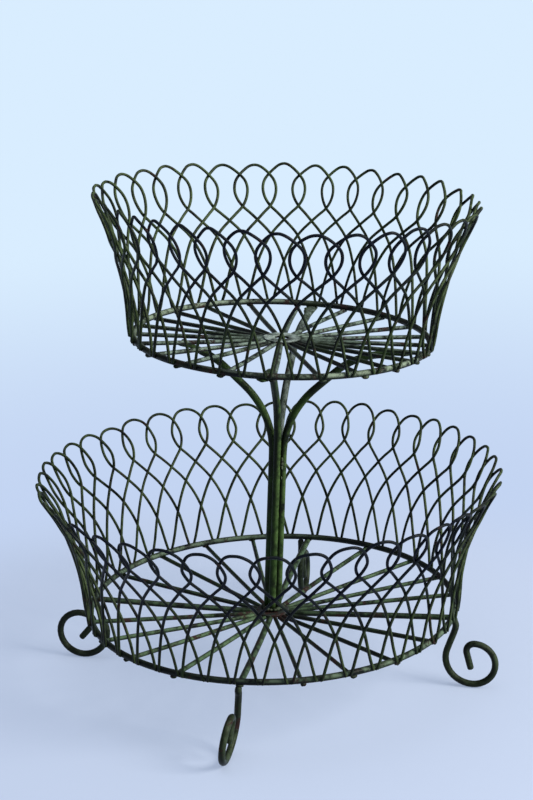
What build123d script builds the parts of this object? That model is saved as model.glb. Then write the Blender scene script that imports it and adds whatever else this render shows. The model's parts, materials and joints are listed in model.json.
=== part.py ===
from build123d import *
import os
from math import cos, pi, radians, sin, sqrt, tan

os.makedirs("parts", exist_ok=True)

# Wire gauges
ring_wire = 4.0
spoke_wire = 3.4
loop_wire = 2.2
foot_wire = 4.7
rod_wire = 5.5

# Sides of the polygon that stands for a round wire
wire_sides = 8
spoke_sides = 6

# Gap left at every welded or brazed seat
weld_gap = 0.1

# Lower basket, measured to the middle of the wires
lower_ring_radius = 136.7
lower_flare = 33.3
lower_wall_height = 106.6
lower_flare_share = 2.2
lower_loops = 43
lower_loop_angle = 3.6
lower_loop_nodes = 22
lower_spokes = 22
lower_spoke_angle = 13.9
lower_floor_sag = 5.0

# Upper basket
upper_ring_radius = 106.9
upper_flare = 30.1
upper_wall_height = 103.7
upper_flare_share = 1.9
upper_loops = 36
upper_loop_angle = 9.7
upper_loop_nodes = 18
upper_spokes = 22
upper_spoke_angle = 1.6
upper_floor_sag = 0.0

# Loops: each wire runs foot, up, over its head and down again
loop_foot_rise = 1.5

# Spokes run under the ring and end just past it
spoke_overhang = 0.6

# Hub plates
hub_thickness = 2.0
hub_lap = 1.7
upper_hub_bore = 10.0

# Feet, from the floor to the ring. A foot at a whole spoke is welded under that spoke's end,
# and one between spokes is welded under the ring.
ring_height = 56.2
foot_spoke_shares = (-1.75, 4, 9.33, 15)
leg_seat_offset = 1.1
leg_stub = 1.0
leg_shoulder_drop = 5.4
leg_slope_angle = 19.5
scroll_inset = 5.1
scroll_entry_radius = 20.0
scroll_outer_radius = 17.0
scroll_top_radius = 15.5
scroll_curl_radius = 6.0
scroll_tail_length = 13.5
scroll_tail_angle = 14.0
scroll_bend_runs = 4
scroll_curl_runs = 2

# Column: rods bundled upright, then spread to arms
rods = 4
rods_angle = -9.0
column_lean_angle = 3.3
column_heading_angle = 7.8
column_length = 211.7
arm_first_radius = 66.0
arm_first_angle = 50.0
arm_first_runs = 3
arm_second_radius = 25.0
arm_second_runs = 3
arm_reach = 84.0
paddle_length = 13.0
paddle_forging_length = 7.0
paddle_width = 9.0
paddle_thickness = 2.8
paddle_corner = 2.2

# Points of one loop wire, from its head's middle to one foot.
# First its place round the wall in loop spacings, then its height up the wall.
# Neighbours cross at half spacings, and a wire crosses itself at its middle.
lower_head_shares = ((0.16, 1.0), (0.40, 0.968), (0.58, 0.895), (0.65, 0.830), (0.50, 0.750))
lower_leg_shares = ((-0.50, 0.512), (-1.00, 0.310), (-1.42, 0.0))
upper_head_shares = ((0.17, 1.0), (0.42, 0.968), (0.65, 0.890), (0.72, 0.812), (0.50, 0.707))
upper_leg_shares = ((-0.50, 0.502), (-1.00, 0.306), (-1.42, 0.0))

# Bevel that turns a square into an octagon, and a square with a round wire's area of metal
octagon_bevel_share = 1 / (2 + sqrt(2))
loop_side_share = sqrt(pi) / 2
loop_side = loop_wire * loop_side_share
loop_reach = loop_side / sqrt(2)

# Heights and places that follow from the sizes above
lower_frame = Plane.XY.offset(ring_height)
lower_hub_base = -ring_wire / 2 - lower_floor_sag
upper_hub_base = -ring_wire / 2 - upper_floor_sag
rod_circle_radius = (rod_wire + weld_gap) / sqrt(2)
lean_lift = (rod_circle_radius + rod_wire) * sin(radians(column_lean_angle))
column_foot = ring_height + lower_hub_base + hub_thickness + lean_lift + weld_gap
column_axis = Vector(0, 0, 1).rotate(Axis.Y, column_lean_angle).rotate(Axis.Z, column_heading_angle)
column_frame = Plane(origin=(0, 0, column_foot), x_dir=(1, 0, 0), z_dir=column_axis)
upper_frame = column_frame.offset(column_length)


# Corner points of straight runs that touch an arc; the turn is clockwise when it is negative
def bend_points(centre, radius, start, turn, runs):
    step = turn / runs
    corner_radius = radius / cos(radians(step / 2))
    points = []
    for run in range(runs):
        angle = radians(start + (run + 0.5) * step)
        points.append((centre[0] + corner_radius * cos(angle), centre[1] + corner_radius * sin(angle)))
    return points


# Section of a round wire, with a flat across the sketch's y
def add_wire_section(gauge, sides):
    RegularPolygon(gauge / 2, sides, major_radius=False, rotation=90 - 180 / sides)


# Ring of as many straight runs as there are loops, with a run behind each pair of loop feet
def make_ring(radius, runs):
    bevel = ring_wire * octagon_bevel_share
    with BuildPart() as ring:
        with BuildSketch(Plane.XY.offset(-ring_wire / 2)):
            RegularPolygon(radius + ring_wire / 2, runs, major_radius=False)
            RegularPolygon(radius - ring_wire / 2, runs, major_radius=False, mode=Mode.SUBTRACT)
        extrude(amount=ring_wire)
        faces = ring.faces().sort_by(Axis.Z)
        chamfer(faces[0].edges() + faces[-1].edges(), length=bevel)
    return ring.part


# Height of a spoke's middle line at one radius
def spoke_level(radius, ring_radius, hub_start, sag):
    drop = -(ring_wire + spoke_wire) / 2 - weld_gap
    return drop + (radius - ring_radius) * sag / (ring_radius - hub_start)


def make_spoke(ring_radius, hub_start, sag):
    end = ring_radius + ring_wire / 2 + spoke_overhang
    hub_point = (hub_start, 0, spoke_level(hub_start, ring_radius, hub_start, sag))
    end_point = (end, 0, spoke_level(end, ring_radius, hub_start, sag))
    with BuildPart() as spoke:
        with BuildLine() as axis:
            Line(hub_point, end_point)
        with BuildSketch(Plane(origin=hub_point, x_dir=(0, 1, 0), z_dir=axis.line % 0)):
            add_wire_section(spoke_wire, spoke_sides)
        sweep(path=axis.line)
    return spoke.part


# Plate snipped from sheet, with a flat at each spoke
def make_hub(radius, base, bore, spokes):
    with BuildPart() as hub:
        with BuildSketch(Plane.XY.offset(base)):
            RegularPolygon(radius, spokes, major_radius=False, rotation=180 / spokes)
            if bore > 0:
                Circle(bore / 2, mode=Mode.SUBTRACT)
        extrude(amount=hub_thickness)
    return hub.part


# One leg keeps outside the wall and the other inside it, so that loops cross without meeting
def make_loop(ring_radius, flare, height, flare_share, loops, places):
    spacing = 2 * pi / loops
    foot_offset = ring_wire / 2 + weld_gap + loop_reach
    foot_height = loop_foot_rise - ring_wire / 2
    offset = loop_reach + weld_gap / 2
    side_offsets = [offset / 2] + [offset] * (len(places) - 2) + [0]
    halves = []
    for side in (1, -1):
        half = []
        for (turn_share, height_share), radial in zip(places, side_offsets):
            angle = side * turn_share * spacing
            radius = ring_radius + foot_offset + (flare - foot_offset) * height_share**flare_share
            radius += side * radial
            level = foot_height + (height - foot_height) * height_share
            half.append((radius * cos(angle), radius * sin(angle), level))
        halves.append(half)
    points = halves[0][::-1] + halves[1]
    with BuildPart() as loop:
        with BuildLine() as path:
            Polyline(*points)
        outward = (points[0][0], points[0][1], 0)
        with BuildSketch(Plane(origin=path.line @ 0, x_dir=outward, z_dir=path.line % 0)):
            Rectangle(loop_side, loop_side)
        sweep(path=path.line, transition=Transition.RIGHT)
    return loop.part


# One wire from its seat under the ring or under a spoke, down, and round into an open scroll
def make_foot(seat_level):
    seat_radius = lower_ring_radius + leg_seat_offset
    entry_radius = lower_ring_radius - scroll_inset
    floor = foot_wire / 2
    entry_centre = (entry_radius + scroll_entry_radius, floor + scroll_entry_radius)
    outer_centre = (entry_centre[0], floor + scroll_outer_radius)
    top_centre = (outer_centre[0] + scroll_outer_radius - scroll_top_radius, outer_centre[1])
    curl_centre = (top_centre[0], top_centre[1] + scroll_top_radius - scroll_curl_radius)
    curl_end = (curl_centre[0] - scroll_curl_radius, curl_centre[1])
    lean = radians(leg_slope_angle)
    leg_low_radius = entry_centre[0] - scroll_entry_radius * cos(lean)
    leg_low_level = entry_centre[1] + scroll_entry_radius * sin(lean)
    shoulder = seat_level - leg_shoulder_drop
    slope = radians(scroll_tail_angle)
    points = [
        (seat_radius, seat_level),
        (seat_radius, seat_level - leg_stub),
        (leg_low_radius + (shoulder - leg_low_level) * tan(lean), shoulder),
    ]
    entry_turn = 90 + leg_slope_angle
    points += bend_points(entry_centre, scroll_entry_radius, 270 - entry_turn, entry_turn, scroll_bend_runs)
    points += bend_points(outer_centre, scroll_outer_radius, 270, 90, scroll_bend_runs)
    points += bend_points(top_centre, scroll_top_radius, 0, 90, scroll_bend_runs)
    points += bend_points(curl_centre, scroll_curl_radius, 90, 90, scroll_curl_runs)
    tail_out = scroll_tail_length * sin(slope)
    tail_drop = scroll_tail_length * cos(slope)
    points.append((curl_end[0] + tail_out, curl_end[1] - tail_drop))
    with BuildPart() as foot:
        with BuildLine(Plane.XZ) as path:
            Polyline(*points)
        with BuildSketch(Plane(origin=path.line @ 0, x_dir=(1, 0, 0), z_dir=path.line % 0)):
            add_wire_section(foot_wire, wire_sides)
        sweep(path=path.line, transition=Transition.RIGHT)
    return foot.part


def make_rod():
    seat = column_length - ring_wire / 2 - spoke_wire - 2 * weld_gap
    level = seat - rod_wire / 2
    first = radians(arm_first_angle)
    last_angle = 90 - arm_first_angle
    second_rise = arm_second_radius * (1 - cos(radians(last_angle)))
    second_out = arm_second_radius * sin(radians(last_angle))
    paddle_start = arm_reach - paddle_length - paddle_forging_length
    straight_end = (paddle_start - second_out, level - second_rise)
    first_out = arm_first_radius * (1 - cos(first))
    straight_start = (rod_circle_radius + first_out, 0)
    rise = (straight_end[0] - straight_start[0]) / tan(first)
    bundle_top = straight_end[1] - rise - arm_first_radius * sin(first)
    points = [(rod_circle_radius, 0)]
    first_centre = (rod_circle_radius + arm_first_radius, bundle_top)
    points += bend_points(first_centre, arm_first_radius, 180, -arm_first_angle, arm_first_runs)
    second_centre = (paddle_start, level - arm_second_radius)
    points += bend_points(second_centre, arm_second_radius, 90 + last_angle, -last_angle, arm_second_runs)
    points.append((paddle_start, level))
    paddle_level = seat - paddle_thickness / 2
    flat_start = (paddle_start + paddle_forging_length, paddle_level)
    with BuildPart() as rod:
        with BuildLine(Plane.XZ) as path:
            Polyline(*points)
        with BuildSketch(Plane(origin=path.line @ 0, x_dir=(1, 0, 0), z_dir=path.line % 0)):
            add_wire_section(rod_wire, wire_sides)
        sweep(path=path.line, transition=Transition.RIGHT)
        with BuildSketch(Plane(origin=(paddle_start, 0, level), x_dir=(0, 1, 0), z_dir=(1, 0, 0))):
            add_wire_section(rod_wire, wire_sides)
        with BuildSketch(Plane(origin=(flat_start[0], 0, flat_start[1]), x_dir=(0, 1, 0), z_dir=(1, 0, 0))):
            with BuildLine():
                bevel = paddle_thickness * octagon_bevel_share
                across = paddle_width / 2
                deep = paddle_thickness / 2
                Polyline(
                    (across, -deep + bevel),
                    (across, deep - bevel),
                    (across - bevel, deep),
                    (-across + bevel, deep),
                    (-across, deep - bevel),
                    (-across, -deep + bevel),
                    (-across + bevel, -deep),
                    (across - bevel, -deep),
                    close=True,
                )
            make_face()
        loft(ruled=True)
        with BuildSketch(Plane.XY.offset(seat - paddle_thickness)):
            with Locations((flat_start[0] + paddle_length / 2, 0)):
                Rectangle(paddle_length, paddle_width)
        extrude(amount=paddle_thickness)
        tip = rod.edges().filter_by(Axis.Z).sort_by(Axis.X)[-2:]
        chamfer(tip, length=paddle_corner)
    return rod.part


def export_piece(part, name):
    part.label = name
    export_step(part, f"parts/{name}.step")


# Copies of one wire from number first to number last, as one node
def export_wires(wire, frame, spacing, first_angle, first, last, name):
    with BuildPart(frame) as wires:
        with PolarLocations(0, last - first, first_angle + first * spacing, (last - first) * spacing):
            add(wire)
    export_piece(wires.part, name)


# Loops round the whole basket, neighbours together in a node
def export_loops(name, loop, frame, loops, first_angle, nodes):
    for number in range(nodes):
        first = loops * number // nodes
        last = loops * (number + 1) // nodes
        export_wires(loop, frame, 360 / loops, first_angle, first, last, f"{name}_loops_{number + 1:02d}")


# Spokes of the back half, then those of the front half
def export_spokes(name, spoke, frame, spokes, first_angle):
    half = spokes // 2
    export_wires(spoke, frame, 360 / spokes, first_angle, 0, half, f"{name}_spokes_back")
    export_wires(spoke, frame, 360 / spokes, first_angle, half, spokes, f"{name}_spokes_front")


# Radius where neighbouring spokes would meet
def hub_start_radius(spokes):
    half_width = spoke_wire / 2 / cos(pi / spoke_sides)
    return (half_width + weld_gap) / tan(pi / spokes)


# Lower basket
lower_hub_start = hub_start_radius(lower_spokes)
with BuildPart(lower_frame) as lower_ring:
    with PolarLocations(0, 1, lower_loop_angle):
        add(make_ring(lower_ring_radius, lower_loops))
export_piece(lower_ring.part, "lower_ring")
with BuildPart(lower_frame) as lower_hub:
    with PolarLocations(0, 1, lower_spoke_angle):
        add(make_hub(lower_hub_start + hub_lap, lower_hub_base, 0, lower_spokes))
export_piece(lower_hub.part, "lower_hub")
lower_spoke = make_spoke(lower_ring_radius, lower_hub_start, lower_floor_sag)
export_spokes("lower", lower_spoke, lower_frame, lower_spokes, lower_spoke_angle)
lower_places = lower_head_shares + lower_leg_shares
lower_loop = make_loop(
    lower_ring_radius, lower_flare, lower_wall_height, lower_flare_share, lower_loops, lower_places
)
export_loops("lower", lower_loop, lower_frame, lower_loops, lower_loop_angle, lower_loop_nodes)

# Feet
leg_inner_radius = lower_ring_radius + leg_seat_offset - foot_wire / 2 / cos(pi / wire_sides)
spoke_seat = spoke_level(leg_inner_radius, lower_ring_radius, lower_hub_start, lower_floor_sag)
under_ring_foot = make_foot(ring_height - ring_wire / 2 - weld_gap)
under_spoke_foot = make_foot(ring_height + spoke_seat - spoke_wire / 2 - weld_gap)
for number, place in enumerate(foot_spoke_shares):
    with BuildPart() as standing_foot:
        with PolarLocations(0, 1, lower_spoke_angle + place * 360 / lower_spokes):
            add(under_spoke_foot if place == round(place) else under_ring_foot)
    export_piece(standing_foot.part, f"foot_{number + 1}")

# Column
rod = make_rod()
for number in range(rods):
    with BuildPart(column_frame) as column_rod:
        with PolarLocations(0, 1, rods_angle + number * 360 / rods):
            add(rod)
    export_piece(column_rod.part, f"column_rod_{number + 1}")

# Upper basket
upper_hub_start = hub_start_radius(upper_spokes)
with BuildPart(upper_frame) as upper_ring:
    with PolarLocations(0, 1, upper_loop_angle):
        add(make_ring(upper_ring_radius, upper_loops))
export_piece(upper_ring.part, "upper_ring")
with BuildPart(upper_frame) as upper_hub:
    with PolarLocations(0, 1, upper_spoke_angle):
        add(make_hub(upper_hub_start + hub_lap, upper_hub_base, upper_hub_bore, upper_spokes))
export_piece(upper_hub.part, "upper_hub")
upper_spoke = make_spoke(upper_ring_radius, upper_hub_start, upper_floor_sag)
export_spokes("upper", upper_spoke, upper_frame, upper_spokes, upper_spoke_angle)
upper_places = upper_head_shares + upper_leg_shares
upper_loop = make_loop(
    upper_ring_radius, upper_flare, upper_wall_height, upper_flare_share, upper_loops, upper_places
)
export_loops("upper", upper_loop, upper_frame, upper_loops, upper_loop_angle, upper_loop_nodes)
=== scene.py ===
import json
import math
import random

import bmesh
import bpy
from mathutils import Euler, Matrix, Vector, noise


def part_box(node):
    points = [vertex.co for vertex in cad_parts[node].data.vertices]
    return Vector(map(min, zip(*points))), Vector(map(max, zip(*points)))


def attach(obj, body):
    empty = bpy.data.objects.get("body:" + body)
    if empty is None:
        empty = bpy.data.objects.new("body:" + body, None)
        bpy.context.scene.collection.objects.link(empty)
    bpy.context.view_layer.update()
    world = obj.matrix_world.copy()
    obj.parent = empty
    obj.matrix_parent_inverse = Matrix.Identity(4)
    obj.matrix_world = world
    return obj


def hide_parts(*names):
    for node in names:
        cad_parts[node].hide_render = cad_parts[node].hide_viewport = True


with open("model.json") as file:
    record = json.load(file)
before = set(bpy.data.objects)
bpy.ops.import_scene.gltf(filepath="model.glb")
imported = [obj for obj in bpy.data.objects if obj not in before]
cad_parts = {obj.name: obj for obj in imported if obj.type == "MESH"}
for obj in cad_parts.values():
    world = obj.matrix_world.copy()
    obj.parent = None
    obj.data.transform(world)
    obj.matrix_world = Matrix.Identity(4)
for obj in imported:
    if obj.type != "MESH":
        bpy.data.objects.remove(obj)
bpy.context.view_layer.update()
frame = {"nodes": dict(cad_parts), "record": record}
nodeNames = sorted(frame["nodes"])
mm = 0.001  # sizes below are in millimetres, meshes in metres


# Wires and plates that both baskets share
stock = {
    "loopWire": 2.2,
    "ringWire": 4.6,  # 4.0 of wire under its coats of paint
    "footWire": 5.0,
    "rodWire": 5.5,
    "hubThickness": 2.0,
    "spokeOverhang": -0.8,  # spokes stop just inside the ring's outer side
    "loopFootRise": 1.6,  # a loop's foot stands this far above the ring's lower edge
    "weldSink": 0.5,  # two welded wires have run into each other by this much
    "spokeSink": 1.3,  # and a spoke and its ring by this much
}

# Half of a loop wire, from its head's middle to its foot: place round the wall in loop
# spacings, then height up the wall. Neighbours cross at every half spacing. Loops and spokes
# were spaced by eye, and the waves say how far they stand from an even place: the waves'
# number round the basket, and the degrees of their cosine and sine. The loops' feet stand
# apart from below their heads by the lean waves.
lowerTier = {
    "name": "lower",
    "ringRadius": 136.7,
    "flare": 33.3,
    "flarePower": 2.2,
    "wallHeight": 106.6,
    "loops": 43,
    "loopAngle": 3.0,
    "loopWaves": ((1, 0.80, 1.18), (2, -0.16, -0.59), (3, 0.23, 0.84), (5, -0.11, 0.25)),
    "leanWaves": ((0, 0.6, 0.0), (1, -1.0, -0.4), (2, 0.7, 0.9), (3, 0.1, -0.8), (4, -0.2, 0.3)),
    "outline": (
        (0.0, 1.0), (0.20, 0.992), (0.38, 0.966), (0.50, 0.927), (0.60, 0.876), (0.635, 0.836),
        (0.60, 0.794), (0.50, 0.750), (0.26, 0.695), (0.0, 0.636), (-0.50, 0.512), (-1.0, 0.310),
        (-1.42, 0.0),
    ),
    "spokes": 20,
    "spokeWire": 3.4,
    # two of the ten straight wires are thicker, and cross over the four feet
    "heavySpokes": {"Heavy Every": 5, "Heavy First": 4, "Heavy Gain": 0.27},
    "spokeAngle": 4.7,
    "spokeWaves": ((1, -2.0, -1.1), (2, -0.2, -0.7), (4, 2.3, -0.3)),
    "floorSag": 5.0,
    "hubRadius": 12.5,
    "hubBore": 0.0,
    "seed": 3,
}
upperTier = {
    "name": "upper",
    "ringRadius": 106.9,
    "flare": 30.1,
    "flarePower": 1.9,
    "wallHeight": 103.7,
    "loops": 36,
    "loopAngle": 10.0,
    "loopWaves": ((1, -1.81, 0.90), (2, 1.76, 0.64), (3, -0.78, -0.21), (4, -0.21, 0.63)),
    "leanWaves": ((0, -0.2, 0.0), (1, 1.7, -0.5), (2, -1.5, -0.7), (3, 1.1, 0.7), (4, -0.7, -1.1)),
    "outline": (
        (0.0, 1.0), (0.12, 0.995), (0.25, 0.979), (0.50, 0.930), (0.655, 0.884), (0.712, 0.828),
        (0.66, 0.765), (0.50, 0.705), (0.26, 0.658), (0.0, 0.607), (-0.50, 0.502), (-1.0, 0.306),
        (-1.42, 0.0),
    ),
    "spokes": 22,
    "spokeWire": 3.2,
    "heavySpokes": {},
    "spokeAngle": 0.3,
    "spokeWaves": ((1, -0.5, -1.2), (2, -3.2, -4.9), (3, 0.8, 0.0)),
    "floorSag": 0.0,
    "hubRadius": 13.5,
    "hubBore": 10.0,
    "seed": 8,
}


# The lower basket is level; the upper one stands square on the leaning column
def tierPlaces():
    ringLow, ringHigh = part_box("lower_ring")
    lowerTier["place"] = Matrix.Translation((0, 0, (ringLow.z + ringHigh.z) / 2))
    bore = next(m for m in frame["record"]["mounts"] if m["name"] == "hub_bore")
    up = Vector(bore["axis"]).normalized()
    side = (Vector((1, 0, 0)) - up * up.x).normalized()
    turned = Matrix((side, up.cross(side), up)).transposed().to_4x4()
    centre = Vector(bore["pos_m"]) + up * stock["hubThickness"] / 2 * mm
    upperTier["place"] = Matrix.Translation(centre) @ turned


tierPlaces()
print("tiers placed")


def spacedByEye(waves, angle):
    return math.radians(sum(c * math.cos(k * angle) + s * math.sin(k * angle) for k, c, s in waves))


def spaceWires(piece, waves, leanWaves=(), height=1.0):
    for vertex in piece.data.vertices:
        angle = math.atan2(vertex.co.y, vertex.co.x)
        lowness = 1 - min(max(vertex.co.z / (height * mm), 0), 1)
        turn = spacedByEye(waves, angle) + spacedByEye(leanWaves, angle) * lowness
        vertex.co.rotate(Euler((0, 0, turn)))


# Smooth line through a few corners, which keeps short steps from overshooting beside long ones
def smoothLine(corners, steps):
    ends = [corners[0] * 2 - corners[1], *corners, corners[-1] * 2 - corners[-2]]
    line = []
    for a, b, c, d in zip(ends, ends[1:], ends[2:], ends[3:]):
        before, span, after = ((q - p).length ** 0.5 for p, q in ((a, b), (b, c), (c, d)))
        leave = (c - b) + span * ((b - a) / before - (c - a) / (before + span))
        arrive = (c - b) + span * ((d - c) / after - (d - b) / (span + after))
        for step in range(steps):
            t = step / steps
            square = 3 * (c - b) - 2 * leave - arrive
            cube = leave + arrive - 2 * (c - b)
            line.append(b + leave * t + square * t**2 + cube * t**3)
    return line + [corners[-1].copy()]


# Arc in a plane, from one angle through a turn, both in degrees
def arcPoints(centre, radius, start, turn, steps):
    angles = [math.radians(start + turn * step / steps) for step in range(steps + 1)]
    return [Vector((centre[0] + radius * math.cos(a), centre[1] + radius * math.sin(a))) for a in angles]


# Leaves out points that lie less than this far apart from the last one
def thinned(points, apart=0.5):
    kept = [points[0]]
    for point in points[1:]:
        if (point - kept[-1]).length > apart:
            kept.append(point)
    return kept


def around(radius, angle, level):
    return Vector((radius * math.cos(angle), radius * math.sin(angle), level))


def smoothStep(low, high, value):
    t = min(max((value - low) / (high - low), 0), 1)
    return t * t * (3 - 2 * t)


# How far the rounded end of a wire lies in, and how thick it is there, as shares of its radius
roundedEnd = ((0.0, 0.6), (0.12, 0.84), (0.4, 0.97))


# A wire as a line of edges, with the share of its gauge at each point: both ends are rounded off
def wireLine(name, points, gauge):
    radius = gauge / 2
    path = [p.copy() for p in points]
    for end in ("first", "last"):
        inward = (path[1] - path[0]).normalized()
        tip = [path[0] + inward * radius * along for along, share in roundedEnd]
        path = tip + [p for p in path[1:] if (p - path[0]).length > radius]
        path.reverse()
    thinning = [share for along, share in roundedEnd]
    shares = thinning + [1.0] * (len(path) - 2 * len(thinning)) + thinning[::-1]
    mesh = bpy.data.meshes.new(name)
    mesh.from_pydata([p * mm for p in path], [(i, i + 1) for i in range(len(path) - 1)], [])
    thick = mesh.attributes.new("thick", "FLOAT", "POINT")
    thick.data.foreach_set("value", shares)
    return bpy.data.objects.new(name, mesh)


# Adds a node with its settings and its values. A value that is a socket, or a node that stands
# for its first output, is linked instead.
def addNode(tree, kind, settings=None, values=None):
    node = tree.nodes.new(kind)
    for name, value in (settings or {}).items():
        setattr(node, name, value)
    for name, value in (values or {}).items():
        if isinstance(value, bpy.types.Node):
            value = value.outputs[0]
        if isinstance(value, bpy.types.NodeSocket):
            tree.links.new(value, node.inputs[name])
        else:
            node.inputs[name].default_value = value
    return node


ofFloats, ofVectors = ({"data_type": kind} for kind in ("FLOAT", "FLOAT_VECTOR"))


def calculate(tree, operation, *terms, **settings):
    return addNode(tree, "ShaderNodeMath", {"operation": operation, **settings}, dict(enumerate(terms)))


def onVector(tree, operation, *terms):
    return addNode(tree, "ShaderNodeVectorMath", {"operation": operation}, dict(enumerate(terms)))


# A share that goes from least to most while a value goes from start to end
def shareOf(tree, value, start, end, least=0.0, most=1.0, easing="SMOOTHSTEP"):
    values = {"Value": value, "From Min": start, "From Max": end, "To Min": least, "To Max": most}
    return addNode(tree, "ShaderNodeMapRange", {"interpolation_type": easing}, values)


def mixColours(tree, share, first, second):
    values = {"Factor": share, 6: first, 7: second}
    return addNode(tree, "ShaderNodeMix", {"data_type": "RGBA"}, values).outputs[2]


def newTree(name, inputs):
    tree = bpy.data.node_groups.new(name, "GeometryNodeTree")
    tree.is_modifier = True
    tree.interface.new_socket("Geometry", in_out="INPUT", socket_type="NodeSocketGeometry")
    tree.interface.new_socket("Geometry", in_out="OUTPUT", socket_type="NodeSocketGeometry")
    for title, kind in inputs:
        tree.interface.new_socket(title, in_out="INPUT", socket_type="NodeSocket" + kind)
    return tree


def endTree(tree, geometry, material):
    smooth = addNode(tree, "GeometryNodeSetShadeSmooth", None, {"Geometry": geometry})
    whole = addNode(tree, "GeometryNodeRealizeInstances", None, {"Geometry": smooth})
    painted = addNode(tree, "GeometryNodeSetMaterial", None, {"Geometry": whole, "Material": material})
    addNode(tree, "NodeGroupOutput", None, {"Geometry": painted})
    return tree


# Notes are named values that a geometry carries on its points
def readNote(tree, kind, name):
    return addNode(tree, "GeometryNodeInputNamedAttribute", kind, {"Name": name})


def writeNote(tree, geometry, name, value):
    values = {"Geometry": geometry, "Name": name, "Value": value}
    return addNode(tree, "GeometryNodeStoreNamedAttribute", {**ofFloats, "domain": "POINT"}, values)


# A copy of a shape at each point
def copied(tree, points, shape, turn, scale):
    values = {"Points": points, "Instance": shape, "Rotation": turn, "Scale": scale}
    copies = addNode(tree, "GeometryNodeInstanceOnPoints", None, values)
    return addNode(tree, "GeometryNodeRealizeInstances", None, {"Geometry": copies})


# Pushes a geometry's points to any side, by a noise's colour and by at most half the reach
def shaken(tree, geometry, noiseNode, reach):
    centred = onVector(tree, "SUBTRACT", noiseNode.outputs["Color"], (0.5, 0.5, 0.5))
    push = addNode(tree, "ShaderNodeVectorMath", {"operation": "SCALE"}, {0: centred, "Scale": reach})
    return addNode(tree, "GeometryNodeSetPosition", None, {"Geometry": geometry, "Offset": push})


# Copies of one wire round the middle, then bent a little, then given their thickness.
# Every so many wires, one may be heavier than the rest.
def wireRowTree():
    tree = newTree(
        "wireRow",
        (
            ("Copies", "Int"), ("First Angle", "Float"), ("Wire Radius", "Float"), ("Sides", "Int"),
            ("Turn Play", "Float"), ("Height Play", "Float"), ("Bend Play", "Float"),
            ("Bend Size", "Float"), ("Bend Start", "Float"), ("Wall Height", "Float"),
            ("Heavy Every", "Int"), ("Heavy First", "Int"), ("Heavy Gain", "Float"), ("Seed", "Int"),
            ("Paint", "Material"),
        ),
    )
    given = addNode(tree, "NodeGroupInput").outputs
    index = addNode(tree, "GeometryNodeInputIndex").outputs[0]
    places = addNode(tree, "GeometryNodePoints", None, {"Count": given["Copies"]})
    among = calculate(tree, "MODULO", index, given["Heavy Every"])
    equalWithin = 0.1
    heavy = calculate(tree, "COMPARE", among, given["Heavy First"], equalWithin)
    gauge = calculate(tree, "MULTIPLY_ADD", heavy, given["Heavy Gain"], 1.0)
    gauged = writeNote(tree, places, "copyGauge", gauge)
    step = calculate(tree, "DIVIDE", 2 * math.pi, given["Copies"])
    turn = calculate(tree, "MULTIPLY_ADD", index, step, given["First Angle"])
    back = calculate(tree, "MULTIPLY", given["Turn Play"], -1.0)
    lowest = calculate(tree, "SUBTRACT", 1.0, given["Height Play"])
    plays = []
    for least, most in ((back, given["Turn Play"]), (lowest, 1.0)):
        values = {2: least, 3: most, "ID": index, "Seed": given["Seed"]}
        plays.append(addNode(tree, "FunctionNodeRandomValue", ofFloats, values).outputs[1])
    turnPlay, height = plays
    rotation = addNode(tree, "ShaderNodeCombineXYZ", None, {"Z": calculate(tree, "ADD", turn, turnPlay)})
    scale = addNode(tree, "ShaderNodeCombineXYZ", None, {"X": 1.0, "Y": 1.0, "Z": height})
    line = addNode(tree, "GeometryNodeMeshToCurve", None, {"Mesh": given["Geometry"]})
    wires = copied(tree, gauged, line, rotation, scale)
    position = addNode(tree, "GeometryNodeInputPosition").outputs[0]
    level = addNode(tree, "ShaderNodeSeparateXYZ", None, {0: position}).outputs["Z"]
    share = calculate(tree, "DIVIDE", level, given["Wall Height"])
    detail = calculate(tree, "DIVIDE", 1.0, given["Bend Size"])
    values = {"Vector": position, "W": given["Seed"], "Scale": detail, "Detail": 1.0}
    wander = addNode(tree, "ShaderNodeTexNoise", {"noise_dimensions": "4D"}, values)
    free = shareOf(tree, share, given["Bend Start"], 1.0, most=given["Bend Play"])
    bent = shaken(tree, writeNote(tree, wires, "wallShare", share), wander, free)
    values = {"Resolution": given["Sides"], "Radius": given["Wire Radius"]}
    section = addNode(tree, "GeometryNodeCurvePrimitiveCircle", None, values)
    fullGauge = calculate(
        tree, "MULTIPLY", readNote(tree, ofFloats, "thick"), readNote(tree, ofFloats, "copyGauge")
    )
    values = {"Curve": bent, "Profile Curve": section, "Scale": fullGauge, "Fill Caps": True}
    return endTree(tree, addNode(tree, "GeometryNodeCurveToMesh", None, values), given["Paint"])


# Small lumps of weld metal, one at each point, each with its own turn, size and dents
beadLook = {"subdivisions": 2, "least": 0.8, "most": 1.15, "dentScale": 650.0}  # dents 1.5 mm apart


def weldBeadTree():
    tree = newTree("weldBeads", (("Dent", "Float"), ("Seed", "Int"), ("Metal", "Material")))
    given = addNode(tree, "NodeGroupInput").outputs
    values = {"Radius": 1.0, "Subdivisions": beadLook["subdivisions"]}
    ball = addNode(tree, "GeometryNodeMeshIcoSphere", None, values)
    index = addNode(tree, "GeometryNodeInputIndex").outputs[0]
    least, most = ([beadLook[k]] * 3 for k in ("least", "most"))
    values = {0: least, 1: most, "ID": index, "Seed": given["Seed"]}
    play = addNode(tree, "FunctionNodeRandomValue", ofVectors, values)
    scale = onVector(tree, "MULTIPLY", readNote(tree, ofVectors, "beadSize"), play)
    beads = copied(tree, given["Geometry"], ball, readNote(tree, ofVectors, "beadTurn"), scale)
    lumps = addNode(tree, "ShaderNodeTexNoise", None, {"Scale": beadLook["dentScale"], "Detail": 1.0})
    return endTree(tree, shaken(tree, beads, lumps, given["Dent"]), given["Metal"])


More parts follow.
